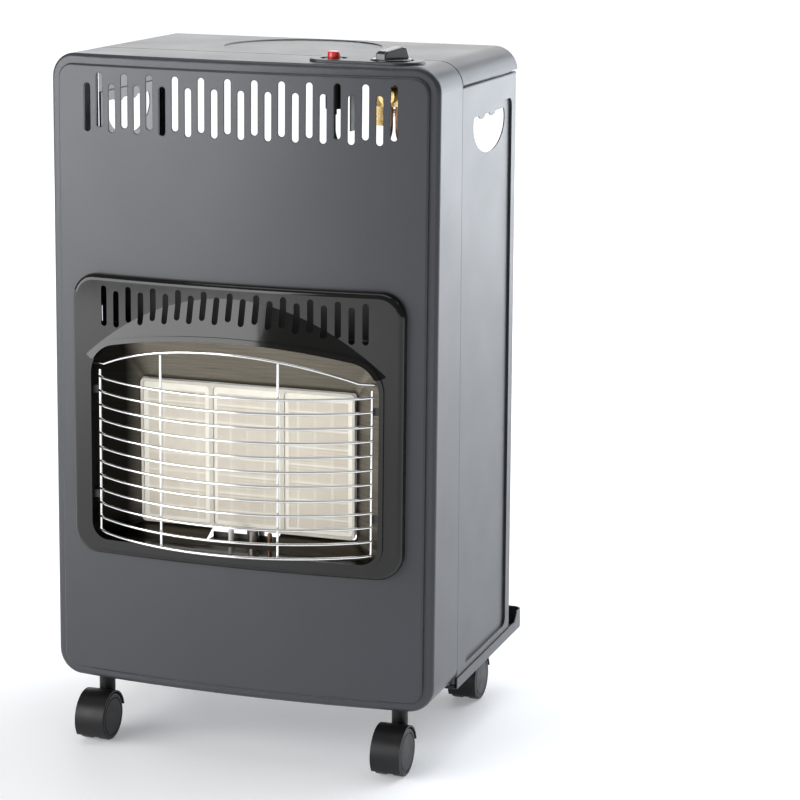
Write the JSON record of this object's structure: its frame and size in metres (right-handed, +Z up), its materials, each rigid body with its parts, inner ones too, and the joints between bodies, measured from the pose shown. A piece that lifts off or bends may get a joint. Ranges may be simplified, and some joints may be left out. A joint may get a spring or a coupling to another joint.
{
  "type": "portable gas cabinet heater",
  "caption": "Folding cabinet heater on casters: bowed steel front with vent slots, wire-guarded ceramic burner, hinged side panels, lid, base tray, knob and igniter.",
  "frame": {"origin": "middle of the footprint, on the floor under the casters", "axes": "+X to the heater's left-to-right as seen from the front, +Y to the back, +Z up; the burner faces -Y"},
  "size_m": [0.42, 0.3893, 0.7458],
  "materials": {
    "body_paint": "satin dark grey stove paint",
    "black_enamel": "gloss black enamel",
    "zinc_steel": "zinc plated sheet steel",
    "stainless": "brushed stainless, browned by heat",
    "bright_steel": "bright steel",
    "chrome_wire": "bright chrome plate",
    "ceramic": "porous cream ceramic",
    "cast_alloy": "cast aluminium",
    "brass": "machined brass",
    "copper_pipe": "drawn copper tube",
    "black_plastic": "moulded black plastic",
    "knob_plastic": "half gloss black plastic",
    "red_plastic": "gloss red plastic",
    "black_bracket": "black painted steel",
    "lead_sleeve": "black silicone sleeve"
  },
  "bodies": {
    "root": {"front_panel": "body_paint", "frame_post_left": "zinc_steel", "frame_post_right": "zinc_steel", "frame_cross_members": "zinc_steel", "burner_crossbars": "zinc_steel", "side_hinge_brackets": "black_bracket", "hinge_pins": "bright_steel", "lid_hinge_brackets": "black_bracket", "base_tray": "body_paint", "base_hinge_brackets": "black_bracket", "burner_surround": "black_enamel", "reflector": "stainless", "plaque_frame": "bright_steel", "plaque_left": "ceramic", "plaque_middle": "ceramic", "plaque_right": "ceramic", "burner_plenums": "cast_alloy", "venturi_tubes": "zinc_steel", "gas_manifold": "zinc_steel", "injectors": "brass", "manifold_brackets": "zinc_steel", "pilot_bracket": "bright_steel", "pilot_burner": "bright_steel", "spark_electrode": "ceramic", "thermocouple": "copper_pipe", "gas_pipe": "copper_pipe", "pilot_pipe": "copper_pipe", "ignition_lead": "lead_sleeve", "thermocouple_lead": "copper_pipe", "guard_cross_wires": "chrome_wire", "guard_top_bow": "chrome_wire", "guard_uprights": "chrome_wire", "guard_clips": "bright_steel", "control_escutcheon": "body_paint", "gas_valve": "brass", "valve_bracket": "black_bracket", "inlet_nozzle": "brass", "piezo_igniter": "black_plastic", "frame_screws": "bright_steel", "caster_sockets": "black_plastic"},
    "lid": {"lid": "body_paint"},
    "side_panel_left": {"side_panel_left": "body_paint"},
    "side_panel_right": {"side_panel_right": "body_paint"},
    "igniter_button": {"igniter_button": "red_plastic"},
    "valve_plunger": {"valve_plunger": "brass"},
    "control_knob": {"control_knob": "knob_plastic", "knob_shaft": "bright_steel"},
    "caster_swivel_front_left": {"caster_hood_front_left": "black_plastic", "caster_stem_front_left": "bright_steel"},
    "caster_wheels_front_left": {"caster_wheels_front_left": "black_plastic"},
    "caster_swivel_front_right": {"caster_hood_front_right": "black_plastic", "caster_stem_front_right": "bright_steel"},
    "caster_wheels_front_right": {"caster_wheels_front_right": "black_plastic"},
    "caster_swivel_rear_left": {"caster_hood_rear_left": "black_plastic", "caster_stem_rear_left": "bright_steel"},
    "caster_wheels_rear_left": {"caster_wheels_rear_left": "black_plastic"},
    "caster_swivel_rear_right": {"caster_hood_rear_right": "black_plastic", "caster_stem_rear_right": "bright_steel"},
    "caster_wheels_rear_right": {"caster_wheels_rear_right": "black_plastic"}
  },
  "joints": [
    {"name": "lid_lift", "type": "hinge", "parent": "root", "child": "lid", "pos_m": [0, -0.0372, 0.713], "axis": [1, 0, 0], "range_deg": [0, 4]},
    {"name": "side_panel_left_fold", "type": "hinge", "parent": "root", "child": "side_panel_left", "pos_m": [-0.2035, -0.0372, 0.378], "axis": [0, 0, -1], "range_deg": [0, 90]},
    {"name": "side_panel_right_fold", "type": "hinge", "parent": "root", "child": "side_panel_right", "pos_m": [0.2035, -0.0372, 0.378], "axis": [0, 0, 1], "range_deg": [0, 90]},
    {"name": "igniter_press", "type": "slide", "parent": "root", "child": "igniter_button", "axis": [0, 0, -1], "range_m": [0, 0.0045], "stiffness_N_per_m": 500, "springref_m": -0.003},
    {"name": "knob_press", "type": "slide", "parent": "root", "child": "valve_plunger", "axis": [0, 0, -1], "range_m": [0, 0.004], "stiffness_N_per_m": 600, "springref_m": -0.004},
    {"name": "knob_turn", "type": "hinge", "parent": "valve_plunger", "child": "control_knob", "pos_m": [0.149, -0.0847, 0.73], "axis": [0, 0, -1], "range_deg": [0, 180]},
    {"name": "caster_swivel_front_left", "type": "hinge", "parent": "root", "child": "caster_swivel_front_left", "pos_m": [-0.166, -0.0987, 0.06], "axis": [0, 0, 1], "continuous": true},
    {"name": "caster_spin_front_left", "type": "hinge", "parent": "caster_swivel_front_left", "child": "caster_wheels_front_left", "pos_m": [-0.166, -0.1187, 0.025], "axis": [1, 0, 0], "continuous": true},
    {"name": "caster_swivel_front_right", "type": "hinge", "parent": "root", "child": "caster_swivel_front_right", "pos_m": [0.166, -0.0987, 0.06], "axis": [0, 0, 1], "continuous": true},
    {"name": "caster_spin_front_right", "type": "hinge", "parent": "caster_swivel_front_right", "child": "caster_wheels_front_right", "pos_m": [0.166, -0.1187, 0.025], "axis": [1, 0, 0], "continuous": true},
    {"name": "caster_swivel_rear_left", "type": "hinge", "parent": "root", "child": "caster_swivel_rear_left", "pos_m": [-0.166, 0.1563, 0.06], "axis": [0, 0, 1], "continuous": true},
    {"name": "caster_spin_rear_left", "type": "hinge", "parent": "caster_swivel_rear_left", "child": "caster_wheels_rear_left", "pos_m": [-0.166, 0.1363, 0.025], "axis": [1, 0, 0], "continuous": true},
    {"name": "caster_swivel_rear_right", "type": "hinge", "parent": "root", "child": "caster_swivel_rear_right", "pos_m": [0.166, 0.1563, 0.06], "axis": [0, 0, 1], "continuous": true},
    {"name": "caster_spin_rear_right", "type": "hinge", "parent": "caster_swivel_rear_right", "child": "caster_wheels_rear_right", "pos_m": [0.166, 0.1363, 0.025], "axis": [1, 0, 0], "continuous": true}
  ]
}
